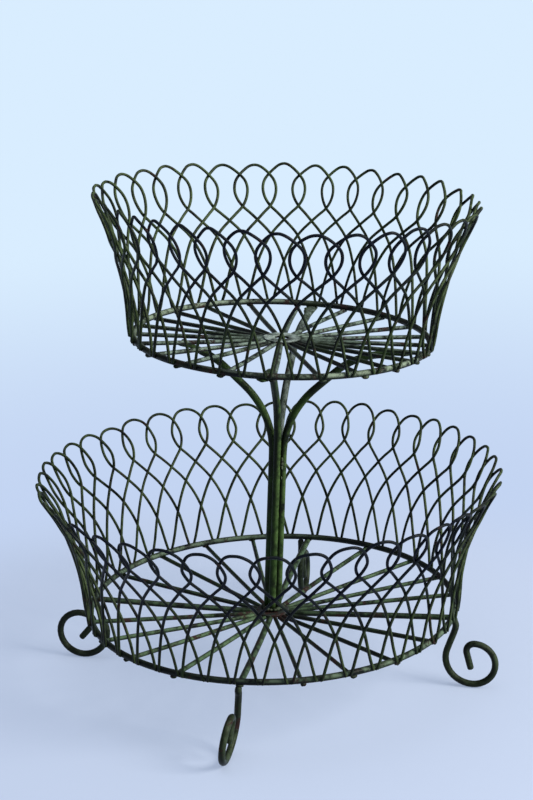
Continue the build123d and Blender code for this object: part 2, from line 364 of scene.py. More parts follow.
# Runs a tree on an object and returns the result as a plain mesh object
def grown(name, start, tree, values):
    bpy.context.scene.collection.objects.link(start)
    modifier = start.modifiers.new(tree.name, "NODES")
    modifier.node_group = tree
    for socket in tree.interface.items_tree:
        if socket.in_out == "INPUT" and socket.name in values:
            modifier[socket.identifier] = values[socket.name]
    bpy.context.view_layer.update()
    graph = bpy.context.evaluated_depsgraph_get()
    mesh = bpy.data.meshes.new_from_object(start.evaluated_get(graph), depsgraph=graph)
    start.modifiers.remove(modifier)
    bpy.data.objects.remove(start)
    mesh.name = name
    return inScene(name, mesh)


# A bar along a path, with a width and a height at each point; across is square to the whole path
def sweptBar(points, across, widths, heights, sides, closed=False):
    vertices, faces = [], []
    count = len(points)
    for i, point in enumerate(points):
        back = points[i - 1] if closed or i else points[0]
        ahead = points[(i + 1) % count] if closed or i < count - 1 else points[-1]
        normal = (ahead - back).normalized().cross(across)
        for side in range(sides):
            angle = 2 * math.pi * side / sides
            vertices.append(
                point + across * math.cos(angle) * widths[i] / 2 + normal * math.sin(angle) * heights[i] / 2
            )
    for i in range(count if closed else count - 1):
        j = (i + 1) % count
        for side in range(sides):
            following = (side + 1) % sides
            faces.append((i * sides + side, j * sides + side, j * sides + following, i * sides + following))
    if not closed:
        faces.append(tuple(range(sides)))
        faces.append(tuple(reversed(range((count - 1) * sides, count * sides))))
    return vertices, faces


def meshPiece(name, vertices, faces, place, material):
    mesh = bpy.data.meshes.new(name)
    mesh.from_pydata([v * mm for v in vertices], [], faces)
    mesh.transform(place)
    mesh.shade_smooth()
    mesh.materials.append(material)
    return inScene(name, mesh)


# Puts a piece on its body and hides the solids that it stands for
def seat(piece, replaced):
    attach(piece, "root")
    if replaced:
        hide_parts(*replaced)


def inScene(name, data):
    thing = bpy.data.objects.new(name, data)
    bpy.context.scene.collection.objects.link(thing)
    return thing


def clearTree(owner):
    owner.use_nodes = True
    owner.node_tree.nodes.clear()
    return owner.node_tree


# A screen's colour as linear light
def hexColour(code):
    channels = [int(code[i : i + 2], 16) / 255 for i in (1, 3, 5)]
    return tuple(c / 12.92 if c <= 0.04045 else ((c + 0.055) / 1.055) ** 2.4 for c in channels) + (1.0,)


# Old oil paint on iron wire, laid on with a brush: uneven green coats, with painted light in a pale
# colour on the side that faces the key lamp, brown where the paint has gone through to rust
def wornPaint(look):
    material = bpy.data.materials.new(look["title"])
    tree = clearTree(material)
    place = addNode(tree, "ShaderNodeTexCoord").outputs["Object"]
    pattern = {}
    for kind, (detail, roughness) in look["patterns"].items():
        scale = 1 / (look[kind + "Size"] * mm)
        values = {"Vector": place, "Scale": scale, "Detail": detail, "Roughness": roughness}
        pattern[kind] = addNode(tree, "ShaderNodeTexNoise", None, values)
    colour = {kind: hexColour(look[kind]) for kind in ("coat", "fresherCoat", "paintedLight", "rust", "freshRust")}
    fresh = shareOf(tree, pattern["coat"], *look["coatReach"])
    green = mixColours(tree, fresh, colour["coat"], colour["fresherCoat"])
    # painted light: paler where the surface faces the key lamp, in patches
    facing = addNode(tree, "ShaderNodeNewGeometry").outputs["Normal"]
    lit = onVector(tree, "DOT_PRODUCT", facing, look["paintedLightSide"]).outputs["Value"]
    side = shareOf(tree, lit, look["paintedLightFrom"], look["paintedLightTo"], easing="LINEAR")
    patch = shareOf(tree, pattern["litPatchAndGloss"], *look["paintedLightReach"], most=look["paintedLightShare"])
    painted = mixColours(tree, calculate(tree, "MULTIPLY", side, patch), green, colour["paintedLight"])
    if "frontShade" in look:
        painted = paintedFrontShade(tree, place, painted, look["frontShade"])
    rust = shareOf(tree, pattern["rust"], look["rustFrom"], look["rustFrom"] + look["rustEdge"])
    rustTone = mixColours(tree, pattern["coat"], colour["rust"], colour["freshRust"])
    dull = shareOf(tree, pattern["litPatchAndGloss"], *look["roughReach"], look["gloss"], look["matt"], "LINEAR")
    roughness = calculate(tree, "MULTIPLY_ADD", rust, look["rustRoughness"], dull, use_clamp=True)
    chips = calculate(tree, "MULTIPLY_ADD", rust, -look["rustDepth"], pattern["brush"])
    values = {"Height": chips, "Strength": look["relief"], "Distance": look["coatThickness"] * mm}
    bump = addNode(tree, "ShaderNodeBump", None, values)
    surface = addNode(
        tree,
        "ShaderNodeBsdfPrincipled",
        None,
        {
            "Base Color": mixColours(tree, rust, painted, rustTone),
            "Roughness": roughness,
            "Normal": bump,
            "IOR": look["refraction"],
            "Specular IOR Level": look["specular"],
        },
    )
    addNode(tree, "ShaderNodeOutputMaterial", None, {"Surface": surface})
    return material


# Painted shade on the loops' heads at the front: nearly black, with a painted blue reflection
def paintedFrontShade(tree, place, colour, frontShade):
    height = addNode(tree, "ShaderNodeAttribute", {"attribute_name": "wallShare"}).outputs["Fac"]
    depth = addNode(tree, "ShaderNodeSeparateXYZ", None, {0: place}).outputs["Y"]
    head = shareOf(tree, height, frontShade["wallFrom"], frontShade["wallTo"])
    front = shareOf(tree, depth, frontShade["depthFrom"] * mm, frontShade["depthTo"] * mm, most=frontShade["share"])
    return mixColours(tree, calculate(tree, "MULTIPLY", head, front), colour, hexColour(frontShade["colour"]))


ironPaint = {
    "coat": "#0c110c",
    "fresherCoat": "#1f2a16",
    # painted light: this pale colour stands for the lamp's light on the side that faces it
    "paintedLight": "#7c8f72",
    "paintedLightSide": (0.6, -0.6, 0.53),  # the side that faces the key lamp and gets painted light, in the basket's own frame
    "paintedLightFrom": 0.35,
    "paintedLightTo": 0.9,
    "rust": "#231b1e",
    "freshRust": "#45302a",
    # the patterns' sizes in millimetres, then the detail and roughness of each
    "coatSize": 26,
    "litPatchAndGlossSize": 9,
    "rustSize": 15,
    "brushSize": 1.1,  # a brush's hairs, drawn as coarse as they need to show
    "patterns": {"coat": (4.0, 0.62), "litPatchAndGloss": (5.0, 0.7), "rust": (6.0, 0.72), "brush": (3.0, 0.6)},
    # where each pattern begins to count and where it counts in full
    "coatReach": (0.42, 0.64),
    "paintedLightReach": (0.36, 0.62),
    "roughReach": (0.3, 0.7),
    "paintedLightShare": 0.75,
    "rustFrom": 0.6,
    "rustEdge": 0.07,
    "rustRoughness": 0.25,  # how much rougher rust is than paint
    "rustDepth": 0.6,
    "relief": 0.35,
    "coatThickness": 0.3,
    "gloss": 0.34,
    "matt": 0.6,
    "refraction": 1.5,
    "specular": 0.13,  # old paint has chalked, so it mirrors less of the room than a new coat
}

# Finishes: the metal piece, and where its paint differs from the plain iron paint
finishes = {
    # thin wire: dark coat; bright green painted light in patches; near black painted shade on front heads
    "loop": {
        "title": "brush-painted iron wire",
        "coat": "#0b100c", "fresherCoat": "#25331a", "paintedLight": "#62764d", "paintedLightShare": 0.55,
        "paintedLightTo": 0.95,
        "frontShade": {
            "colour": "#03081a", "share": 0.9, "wallFrom": 0.2, "wallTo": 0.7,
            "depthFrom": -50, "depthTo": -110,
        },
    },
    # the upper ring gets a painted light almost grey where light falls on it, and is rusty in small spots
    "ring": {
        "title": "worn brush-painted iron wire",
        "coat": "#0e1312", "fresherCoat": "#262f20", "paintedLight": "#97aa93", "paintedLightShare": 0.95,
        "paintedLightFrom": 0.52, "paintedLightTo": 0.95, "rustFrom": 0.57,
    },
    # the upper spokes get a chalky pale painted light on top and stay nearly black below
    "spoke": {
        "title": "faded brush-painted iron wire",
        "coat": "#0e1210", "paintedLight": "#8ea394", "paintedLightShare": 0.95, "paintedLightFrom": 0.5, "paintedLightTo": 0.95,
        "rustFrom": 0.56,
    },
    # the upper plate is grey green with a few brown stains, with the palest painted light on its top
    "hub": {
        "title": "faded painted steel plate",
        "coat": "#1d2420", "fresherCoat": "#68766d", "paintedLight": "#b4c4bb", "paintedLightSide": (0.2, -0.2, 0.96),
        "paintedLightFrom": 0.3, "rustFrom": 0.58, "freshRust": "#5a3826",
    },
    # the column is green, with a green painted light on its right side, and little rust
    "column": {
        "title": "brush-painted iron rod",
        "coat": "#10170a", "fresherCoat": "#2c441b", "paintedLight": "#5f7d46", "paintedLightSide": (0.9, -0.4, 0.17),
        "paintedLightFrom": 0.25, "paintedLightTo": 0.95, "rustFrom": 0.66,
    },
    # the feet lie in the basket's own shade: dark green with little painted light
    "foot": {
        "title": "brush-painted scroll wire",
        "coat": "#10160c", "fresherCoat": "#202a16", "paintedLight": "#63755a", "paintedLightShare": 0.4,
    },
    # paint holds badly on weld metal, so the beads look rough and spotted with rust
    "weld": {
        "title": "painted weld with rust",
        "coat": "#0d110c", "paintedLightShare": 0.4, "rustSize": 6, "rustFrom": 0.54, "relief": 0.6,
    },
    # the plate in the lower floor is darker than the upper one
    "lowerHub": {
        "title": "darker painted steel plate",
        "coat": "#121511", "fresherCoat": "#252a25", "paintedLight": "#6a7370", "paintedLightShare": 0.5,
        "rustFrom": 0.5,
    },
    # less light reaches the lower floor, so its spokes and ring get a greener, dimmer painted light
    "lowerSpoke": {
        "title": "green brush-painted iron wire",
        "coat": "#0e130e", "fresherCoat": "#202e19", "paintedLight": "#64805f", "paintedLightShare": 0.9,
        "paintedLightFrom": 0.45, "paintedLightTo": 0.95, "rustFrom": 0.56,
    },
    "lowerRing": {
        "title": "green brush-painted iron ring",
        "coat": "#0e1312", "fresherCoat": "#222c1e", "paintedLight": "#718770", "paintedLightShare": 0.9,
        "paintedLightFrom": 0.55, "paintedLightTo": 0.98, "rustFrom": 0.58,
    },
    # the back rod stands most in the light: grey painted light on its top
    "paintedLightRod": {
        "title": "faded brush-painted iron rod",
        "coat": "#10170a", "fresherCoat": "#2c3a24", "paintedLight": "#8b9a91", "paintedLightShare": 0.95,
        "paintedLightFrom": 0.2,
    },
    # black weld paint, rough and without shine, as painted shade in the upper hub's bore
    "shadeBlackWeld": {
        "title": "burnt weld metal",
        "coat": "#050706", "fresherCoat": "#0b0e0c", "paintedLightShare": 0.05, "relief": 0.8,
    },
}
paints = {piece: wornPaint({**ironPaint, **finish}) for piece, finish in finishes.items()}
lowerTier.update({kind + "Paint": paints["lower" + kind.title()] for kind in ("ring", "spoke", "hub")})
upperTier.update({kind + "Paint": paints[kind] for kind in ("ring", "spoke", "hub")})
print("paints mixed")


wireRow = wireRowTree()
weldBeads = weldBeadTree()


# A row of wires that are all alike and were set with care
evenRow = {
    "Turn Play": 0.0,
    "Height Play": 0.0,
    "Bend Play": 0.0,
    "Bend Size": 60 * mm,
    "Bend Start": 0.0,
    "Heavy Every": 1,
    "Heavy First": 0,
    "Heavy Gain": 0.0,
}

# One leg of a loop keeps outside the wall and the other inside, so crossing wires lie on each other
loopWork = {
    "steps": 5,
    "sides": 8,
    "play": {
        "Turn Play": math.radians(0.2),
        "Height Play": 0.016,
        "Bend Play": 5.0 * mm,
        "Bend Size": 42.0 * mm,
        "Bend Start": 0.15,
    },
    "legPlay": 1.04,  # how far a leg stands off the wall, as a share of the wire's radius
    "legTopShare": 0.16,  # the legs part over these shares of the head and of the foot
    "legFootShare": 0.1,
    "unrolledShare": 0.8,  # the outline is smoothed at its width this far out on the flare
}


def loopWire(tier):
    spacing = 2 * math.pi / tier["loops"]
    footOffset = (stock["ringWire"] + stock["loopWire"]) / 2 - stock["weldSink"]
    footLevel = stock["loopFootRise"] - stock["ringWire"] / 2
    unrolled = spacing * (tier["ringRadius"] + loopWork["unrolledShare"] * tier["flare"])
    half = [Vector((u * unrolled, s * tier["wallHeight"])) for u, s in tier["outline"]]
    other = [Vector((-p.x, p.y)) for p in half[1:]]
    flat = smoothLine(half[::-1] + other, loopWork["steps"])
    points = []
    for i, p in enumerate(flat):
        share = max(p.y / tier["wallHeight"], 0)
        fromTop = abs(2 * i / (len(flat) - 1) - 1)
        side = 1 if i * 2 < len(flat) else -1
        offset = stock["loopWire"] / 2 * loopWork["legPlay"]
        offset *= smoothStep(0, loopWork["legTopShare"], fromTop)
        offset *= smoothStep(0, loopWork["legFootShare"], share)
        flare = (tier["flare"] - footOffset) * share ** tier["flarePower"]
        radius = tier["ringRadius"] + footOffset + flare
        level = footLevel + (tier["wallHeight"] - footLevel) * share
        points.append(around(radius + side * offset, p.x / unrolled * spacing, level))
    return wireLine(tier["name"] + "LoopWire", points, stock["loopWire"])


def makeLoops(tier):
    piece = grown(
        tier["name"] + "_loop_wires",
        loopWire(tier),
        wireRow,
        {
            **evenRow,
            **loopWork["play"],
            "Copies": tier["loops"],
            "First Angle": math.radians(tier["loopAngle"]),
            "Wire Radius": stock["loopWire"] / 2 * mm,
            "Sides": loopWork["sides"],
            "Wall Height": tier["wallHeight"] * mm,
            "Seed": tier["seed"],
            "Paint": paints["loop"],
        },
    )
    spaceWires(piece, tier["loopWaves"], tier["leanWaves"], tier["wallHeight"])
    piece.data.transform(tier["place"])
    seat(piece, [n for n in nodeNames if n.startswith(tier["name"] + "_loops")])
    print(tier["name"], "loops", len(piece.data.polygons), "faces")


# The ring is bent by hand, so it is not quite a circle
ringWork = {"points": 176, "sides": 12, "waver": 0.35, "waverScale": 2.5}


def makeRing(tier):
    points = []
    for i in range(ringWork["points"]):
        outward = around(1, 2 * math.pi * i / ringWork["points"], 0)
        waver = noise.noise(outward * ringWork["waverScale"] + Vector((0, 0, tier["seed"])))
        points.append(outward * (tier["ringRadius"] + waver * ringWork["waver"]))
    gauge = [stock["ringWire"]] * len(points)
    ring = sweptBar(points, Vector((0, 0, 1)), gauge, gauge, ringWork["sides"], closed=True)
    piece = meshPiece(tier["name"] + "_round_ring", *ring, tier["place"], tier["ringPaint"])
    seat(piece, [tier["name"] + "_ring"])


# Spokes lie under the ring, and their ends show below it
spokeWork = {"underHub": 1.5, "steps": 14, "sides": 10, "turnPlay": 0.35, "bow": 0.5}


def makeSpokes(tier):
    gauge = tier["spokeWire"]
    drop = stock["spokeSink"] - (stock["ringWire"] + gauge) / 2
    start = tier["hubRadius"] - spokeWork["underHub"]
    slope = tier["floorSag"] / (tier["ringRadius"] - start)
    end = tier["ringRadius"] + stock["ringWire"] / 2 + stock["spokeOverhang"]
    points = []
    for i in range(spokeWork["steps"] + 1):
        share = i / spokeWork["steps"]
        out = start + (end - start) * share
        bow = spokeWork["bow"] * math.sin(math.pi * share)
        points.append(Vector((out, bow, drop + (out - tier["ringRadius"]) * slope)))
    piece = grown(
        tier["name"] + "_spokes",
        wireLine(tier["name"] + "Spoke", points, gauge),
        wireRow,
        {
            **evenRow,
            **tier["heavySpokes"],
            "Copies": tier["spokes"],
            "First Angle": math.radians(tier["spokeAngle"]),
            "Wire Radius": gauge / 2 * mm,
            "Sides": spokeWork["sides"],
            "Turn Play": math.radians(spokeWork["turnPlay"]),
            "Wall Height": tier["wallHeight"] * mm,
            "Seed": tier["seed"] + 1,
            "Paint": tier["spokePaint"],
        },
    )
    spaceWires(piece, tier["spokeWaves"])
    piece.data.transform(tier["place"])
    seat(piece, [tier["name"] + "_spokes_front", tier["name"] + "_spokes_back"])


# Hub plates are cut by hand from sheet, with an uneven outline and rounded edges
hubWork = {
    "turns": 88,
    "edge": 0.45,
    "rounding": ((2, 0), (0.6, 0.25), (0, 1)),  # inwards and down, in edges
    "unevenness": 0.5,
    "unevenScale": 1.7,
}


def makeHub(tier):
    base = -stock["ringWire"] / 2 - tier["floorSag"]
    top = base + stock["hubThickness"]
    edge = hubWork["edge"]
    outer = tier["hubRadius"]
    inner = tier["hubBore"] / 2
    rounded = [(outer - edge * inwards, edge * down) for inwards, down in hubWork["rounding"]]
    profile = [(out, top - drop) for out, drop in rounded]
    profile += [(out, base + drop) for out, drop in reversed(rounded)]
    if inner:
        profile += [(inner + edge, base), (inner, base + edge), (inner, top - edge), (inner + edge, top)]
    else:
        profile += [(outer / 2, base), (0.0, base), (0.0, top), (outer / 2, top)]
    vertices, faces = [], []
    turns = hubWork["turns"]
    for i in range(turns):
        outward = around(1, 2 * math.pi * i / turns, 0)
        bump = noise.noise(outward * hubWork["unevenScale"] + Vector((tier["seed"], 0, 0)))
        uneven = 1 + bump * hubWork["unevenness"] / outer
        for out, level in profile:
            vertices.append(outward * out * (uneven if out > outer / 2 else 1) + Vector((0, 0, level)))
    count = len(profile)
    for i in range(turns):
        j = (i + 1) % turns
        for k in range(count):
            n = (k + 1) % count
            faces.append((i * count + k, i * count + n, j * count + n, j * count + k))
    piece = meshPiece(tier["name"] + "_hub_plate", vertices, faces, tier["place"], tier["hubPaint"])
    if inner:
        # the bore's wall takes the black weld paint, as painted shade inside the bore
        piece.data.materials.append(paints["shadeBlackWeld"])
        for i, face in enumerate(piece.data.polygons):
            face.material_index = 1 if i % count == profile.index((inner, base + edge)) else 0
    closeMesh(piece)
    seat(piece, [tier["name"] + "_hub"])


# Merges doubled points and turns every face outwards
def closeMesh(piece):
    mergeWithin = 0.002 * mm
    work = bmesh.new()
    work.from_mesh(piece.data)
    bmesh.ops.remove_doubles(work, verts=work.verts, dist=mergeWithin)
    bmesh.ops.recalc_face_normals(work, faces=work.faces)
    work.to_mesh(piece.data)
    work.free()


# Four rods stand bundled on the lower hub, spread like branches and end in hammered paddles.
# They were bent by hand: two reach the ring, between spokes, and two stop under the spokes. An
# arm's turn is how far it strays from an even cross.
rodWork = {
    "firstAngle": -9.0,
    "length": 211.7,
    "gap": 0.1,
    "bundleSteps": 12,
    "bendSteps": 14,
    "topSteps": 20,
    "levelSteps": 19,
    "levelStep": 2.5,
    "bendRadius": 72.0,
    "bendAngle": 46.0,
    "topRadius": 57.0,
    "topLevelOut": 80.0,  # the arms are level from this far out
    "paddle": 13.0,
    "forging": 7.0,
    "paddleWidth": 9.0,
    "paddleThickness": 2.8,
    "tipNarrowing": 0.55,  # a paddle's tip loses this share of its width, and less of its thickness
    "tipThinning": 0.6,
    "tipStart": 0.62,
    "lastStep": 0.6,  # no point lies nearer than this to the tip
    "partingLow": 105.0,  # arms leave their rod's direction between these heights below the top
    "partingHigh": 50.0,
    "riseStart": 76.0,
    "riseEnd": 97.0,
    "sides": 16,
}
branches = (
    {"turn": -3.0, "reach": 95.0, "rise": 0.0},
    # the back rod gets the paint with a stronger painted light
    {"turn": -5.0, "reach": 109.5, "rise": 2.5, "paintedLight": True},
    {"turn": 13.0, "reach": 77.0, "rise": 0.0},
    {"turn": 1.0, "reach": 109.5, "rise": 2.5},
)


def rodPath(reach):
    gauge = stock["rodWire"]
    circle = (gauge + rodWork["gap"]) / math.sqrt(2)
    spokeUnderside = rodWork["length"] - stock["ringWire"] / 2 - upperTier["spokeWire"] + stock["spokeSink"]
    level = spokeUnderside - rodWork["gap"] - gauge / 2
    bend = math.radians(rodWork["bendAngle"])
    last = math.pi / 2 - bend
    top = rodWork["topRadius"]
    topCentre = Vector((rodWork["topLevelOut"], level - top))
    topStart = topCentre + Vector((-math.sin(last), math.cos(last))) * top
    bendRadius = rodWork["bendRadius"]
    straightOut = topStart.x - circle - bendRadius * (1 - math.cos(bend))
    bundleTop = topStart.y - straightOut / math.tan(bend) - bendRadius * math.sin(bend)
    steps, lowTurn = rodWork["bundleSteps"], -rodWork["bendAngle"]
    points = [Vector((circle, bundleTop * i / steps)) for i in range(steps)]
    points += arcPoints((circle + bendRadius, bundleTop), bendRadius, 180, lowTurn, rodWork["bendSteps"])
    points += arcPoints(topCentre, top, 90 + math.degrees(last), -math.degrees(last), rodWork["topSteps"])
    for i in range(rodWork["levelSteps"]):
        points.append(Vector((rodWork["topLevelOut"] + rodWork["levelStep"] * (i + 1), level)))
    return thinned([p for p in points if p.x < reach - rodWork["lastStep"]] + [Vector((reach, level))])


def makeBranch(branch, place, name):
    gauge = stock["rodWire"]
    paddle = rodWork["paddle"]
    points, widths, heights = [], [], []
    for p in rodPath(branch["reach"]):
        toTip = branch["reach"] - p.x
        flat = smoothStep(0, rodWork["forging"], paddle + rodWork["forging"] - toTip)
        narrowing = rodWork["tipNarrowing"] * smoothStep(rodWork["tipStart"], 1, 1 - toTip / paddle)
        widths.append((gauge + (rodWork["paddleWidth"] - gauge) * flat) * (1 - narrowing))
        thinning = rodWork["tipThinning"] * narrowing
        heights.append((gauge + (rodWork["paddleThickness"] - gauge) * flat) * (1 - thinning))
        rise = branch["rise"] * smoothStep(rodWork["riseStart"], rodWork["riseEnd"], p.x)
        points.append(Vector((p.x, 0, p.y + rise + (gauge - heights[-1]) / 2)))
    vertices, faces = sweptBar(points, Vector((0, 1, 0)), widths, heights, rodWork["sides"])
    partingStart, partingEnd = (rodWork["length"] - rodWork[k] for k in ("partingLow", "partingHigh"))
    for vertex in vertices:
        parted = smoothStep(partingStart, partingEnd, vertex.z)
        vertex.rotate(Euler((0, 0, math.radians(branch["turn"]) * parted)))
    # the back rod's paint has more painted light on its top
    paint = paints["paintedLightRod" if "paintedLight" in branch else "column"]
    piece = meshPiece(name, vertices, faces, place, paint)
    closeMesh(piece)
    return piece


def makeColumn(tier):
    up = tier["place"].to_3x3()
    foot = Matrix.Translation(tier["place"].translation - up.col[2] * rodWork["length"] * mm) @ up.to_4x4()
    for number, branch in enumerate(branches):
        turn = math.radians(rodWork["firstAngle"] + 360 / len(branches) * number)
        piece = makeBranch(branch, foot @ Matrix.Rotation(turn, 4, "Z"), f"column_branch_{number + 1}")
        seat(piece, [f"column_rod_{number + 1}"])
    return foot


# A foot is one wire, welded under the ring or under a spoke's end, brought in under the basket
# and bent round into an open scroll. Each was bent by hand, so the left one is rounder, and the
# front one leans to a side and is turned a little.
footWork = {
    "seatOut": 1.1,
    "stub": 1.6,
    "shoulderDrop": 5.4,
    "shoulderBow": 0.4,
    "legStraight": 5.0,
    "slopeAngle": 19.5,
    "entryRadius": 20.0,
    "legSteps": 5,
    "entrySteps": 12,
    "outerSteps": 9,
    "topSteps": 10,
    "curlSteps": 7,
    "tailShares": (0.35, 0.7, 1.0),
    "sides": 14,
}
evenScroll = {
    "inset": 5.1,
    "outerRadius": 17.0,
    "topRadius": 15.5,
    "topTurn": 90.0,
    "curlRadius": 6.0,
    "curlTurn": 104.0,
    "tail": 13.5,
    "sideLean": 0.0,
    "scrollTurn": 0.0,
}
roundScroll = {
    **evenScroll,
    "inset": 4.4,
    "outerRadius": 18.0,
    "topRadius": 16.6,
    "topTurn": 121.0,
    "curlRadius": 5.0,
    "curlTurn": 100.0,
    "tail": 14.7,
}
feet = (
    {**evenScroll, "angle": -14.7, "underSpoke": False},
    {**evenScroll, "angle": 79.4, "underSpoke": True},
    {**roundScroll, "angle": 166.6, "underSpoke": False},
    {**evenScroll, "angle": 259.4, "underSpoke": True, "inset": 8.0, "sideLean": -8.0, "scrollTurn": -4.2},
)


def footWire(foot):
    ringLevel = lowerTier["place"].translation.z / mm
    seatRadius = lowerTier["ringRadius"] + footWork["seatOut"]
    seatLevel = ringLevel - stock["ringWire"] / 2
    if foot["underSpoke"]:
        seatLevel -= lowerTier["spokeWire"] - stock["spokeSink"]
    low = stock["footWire"] / 2
    big = footWork["entryRadius"]
    outer, top, curl = (foot[k] for k in ("outerRadius", "topRadius", "curlRadius"))
    inner = lowerTier["ringRadius"] - foot["inset"]
    slope = math.radians(footWork["slopeAngle"])
    legLow = Vector((inner + big * (1 - math.cos(slope)), low + big * (1 + math.sin(slope))))
    shoulder = seatLevel - footWork["shoulderDrop"]
    bend = [
        Vector((seatRadius, seatLevel + stock["weldSink"] * 2)),
        Vector((seatRadius + footWork["shoulderBow"], seatLevel - footWork["stub"])),
        Vector((legLow.x + (shoulder - legLow.y) * math.tan(slope) - footWork["shoulderBow"], shoulder)),
        Vector((legLow.x + footWork["legStraight"] * math.tan(slope), legLow.y + footWork["legStraight"])),
        legLow,
    ]
    points = smoothLine(bend, footWork["legSteps"])
    entryTurn = 90 + footWork["slopeAngle"]
    points += arcPoints((inner + big, low + big), big, 270 - entryTurn, entryTurn, footWork["entrySteps"])
    points += arcPoints((inner + big, low + outer), outer, 270, 90, footWork["outerSteps"])
    topCentre = Vector((inner + big + outer - top, low + outer))
    points += arcPoints(topCentre, top, 0, foot["topTurn"], footWork["topSteps"])
    curled = math.radians(foot["topTurn"])
    curlCentre = topCentre + Vector((math.cos(curled), math.sin(curled))) * (top - curl)
    points += arcPoints(curlCentre, curl, foot["topTurn"], foot["curlTurn"], footWork["curlSteps"])
    heading = math.radians(foot["topTurn"] + foot["curlTurn"] + 90)
    tail = Vector((math.cos(heading), math.sin(heading))) * foot["tail"]
    start = points[-1]
    points += [start + tail * share for share in footWork["tailShares"]]
    lean = foot["sideLean"] / seatLevel
    askew = math.tan(math.radians(foot["scrollTurn"]))
    line = []
    for point in thinned(points):
        aside = (seatLevel - min(point.y, seatLevel)) * lean + (point.x - seatRadius) * askew
        line.append(Vector((point.x, aside, point.y)))
    return wireLine("scrollFoot", line, stock["footWire"])


def makeFeet():
    for number, foot in enumerate(feet):
        piece = grown(
            f"scroll_foot_{number + 1}",
            footWire(foot),
            wireRow,
            {
                **evenRow,
                "Copies": 1,
                "First Angle": math.radians(foot["angle"]),
                "Wire Radius": stock["footWire"] / 2 * mm,
                "Sides": footWork["sides"],
                "Wall Height": lowerTier["wallHeight"] * mm,
                "Seed": 1,
                "Paint": paints["foot"],
            },
        )
        seat(piece, [f"foot_{number + 1}"])


# Weld metal: a place, a size along and across, and the turn round the middle
def beadPoints(name, beads):
    mesh = bpy.data.meshes.new(name)
    mesh.from_pydata([place * mm for place, size, turn in beads], [], [])
    sizes = mesh.attributes.new("beadSize", "FLOAT_VECTOR", "POINT")
    turns = mesh.attributes.new("beadTurn", "FLOAT_VECTOR", "POINT")
    for i, (place, size, turn) in enumerate(beads):
        sizes.data[i].vector = [s * mm for s in size]
        turns.data[i].vector = (0, 0, turn)
    return bpy.data.objects.new(name, mesh)


# Beads lie this far out from the ring's or the column's middle line and this far up from it
weldWork = {
    "dent": 0.6,
    "columnDent": 0.9,
    "loopBead": {"out": 2.1, "up": -0.4, "size": (0.9, 1.1, 1.2)},
    "spokeBeads": (
        {"out": -1.9, "up": -2.2, "size": (1.2, 2.0, 1.0)},
        {"out": 0.7, "up": -2.7, "size": (1.5, 2.5, 1.3)},
    ),
    "boreBead": {"up": -4.3, "size": (9.5, 9.5, 1.7)},
    "columnBeads": 14,
    "columnBeadOut": (5.2, 7.0),
    "columnBeadUp": 1.0,
    "columnBeadSizes": ((1.6, 2.6), (1.8, 2.8), (1.2, 2.2)),
    "grooveBeads": ((113, 1.0), (116, 1.3), (119, 1.1), (105, 0.7)),  # height up the column and swelling
    "grooveOut": 5.2,
    "grooveAngle": -54,
    "grooveBeadSize": Vector((1.2, 1.4, 1.9)),
    "paddleBeads": ((11, 3.2), (6, -3.8), (3, 3.4)),  # inwards from the arm's tip and sideways
    "paddleBeadSize": (1.6, 1.4, 0.9),
    "underSpokes": 2.3,  # the shorter arms' beads lie this much lower
    "columnSeed": 4,
    "columnDraws": 5,  # the seed of the beads round the column's foot
}


def growBeads(name, beads, dent, seed, metal, place):
    values = {"Dent": dent * mm, "Seed": seed, "Metal": metal}
    piece = grown(name, beadPoints(name + "_points", beads), weldBeads, values)
    piece.data.transform(place)
    return piece


def ringBead(tier, bead, angle):
    return around(tier["ringRadius"] + bead["out"], angle, bead["up"]), bead["size"], angle


def makeTierWelds(tier):
    beads = []
    spacing = 2 * math.pi / tier["loops"]
    foot = -tier["outline"][-1][0]
    for loop in range(tier["loops"]):
        for side in (-1, 1):
            angle = math.radians(tier["loopAngle"]) + (loop + side * foot) * spacing
            angle += spacedByEye(tier["loopWaves"] + tier["leanWaves"], angle)
            beads.append(ringBead(tier, weldWork["loopBead"], angle))
    for spoke in range(tier["spokes"]):
        angle = math.radians(tier["spokeAngle"]) + 2 * math.pi * spoke / tier["spokes"]
        angle += spacedByEye(tier["spokeWaves"], angle)
        beads += [ringBead(tier, bead, angle) for bead in weldWork["spokeBeads"]]
    name = tier["name"]
    welds = growBeads(name + "_welds", beads, weldWork["dent"], tier["seed"], paints["weld"], tier["place"])
    seat(welds, [])
    if tier["hubBore"]:
        # the spokes' inner ends run together in weld metal, painted black as painted shade in the bore
        bead = weldWork["boreBead"]
        beads = [(Vector((0, 0, bead["up"])), bead["size"], 0)]
        shadowed = paints["shadeBlackWeld"]
        lump = growBeads(name + "_bore_weld", beads, weldWork["dent"], tier["seed"], shadowed, tier["place"])
        seat(lump, [])


